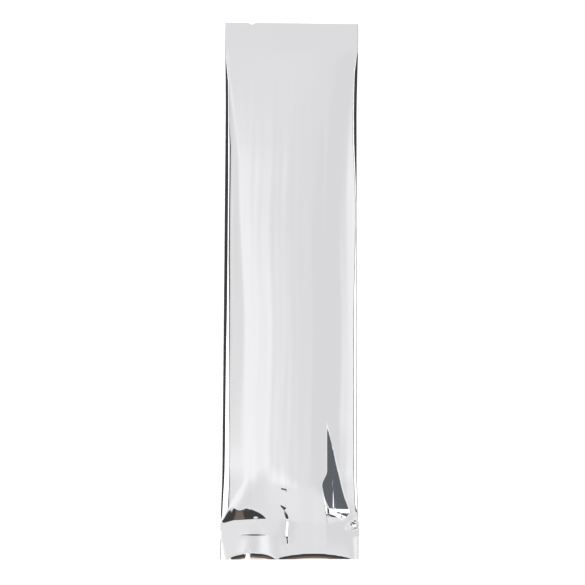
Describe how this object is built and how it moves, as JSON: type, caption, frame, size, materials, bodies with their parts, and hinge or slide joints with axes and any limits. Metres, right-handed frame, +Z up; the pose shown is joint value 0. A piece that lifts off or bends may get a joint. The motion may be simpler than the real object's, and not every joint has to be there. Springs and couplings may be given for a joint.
{
  "type": "metallized stick pack",
  "caption": "Filled stick pack of plain metallized film, heat-sealed across each end and along its folded back fin, with small tear notches and a crushed, curled lower end.",
  "frame": {"origin": "Under the middle of the pack, on the surface that its back seal rests on.", "axes": "+X across the pack, +Y along it towards the end with the shallow tear notch, +Z up out of the front."},
  "size_m": [0.0376, 0.15, 0.005],
  "materials": {
    "metallized_film": "glossy metallized film"
  },
  "bodies": {
    "root": {"stick_pack": "metallized_film"}
  },
  "joints": []
}
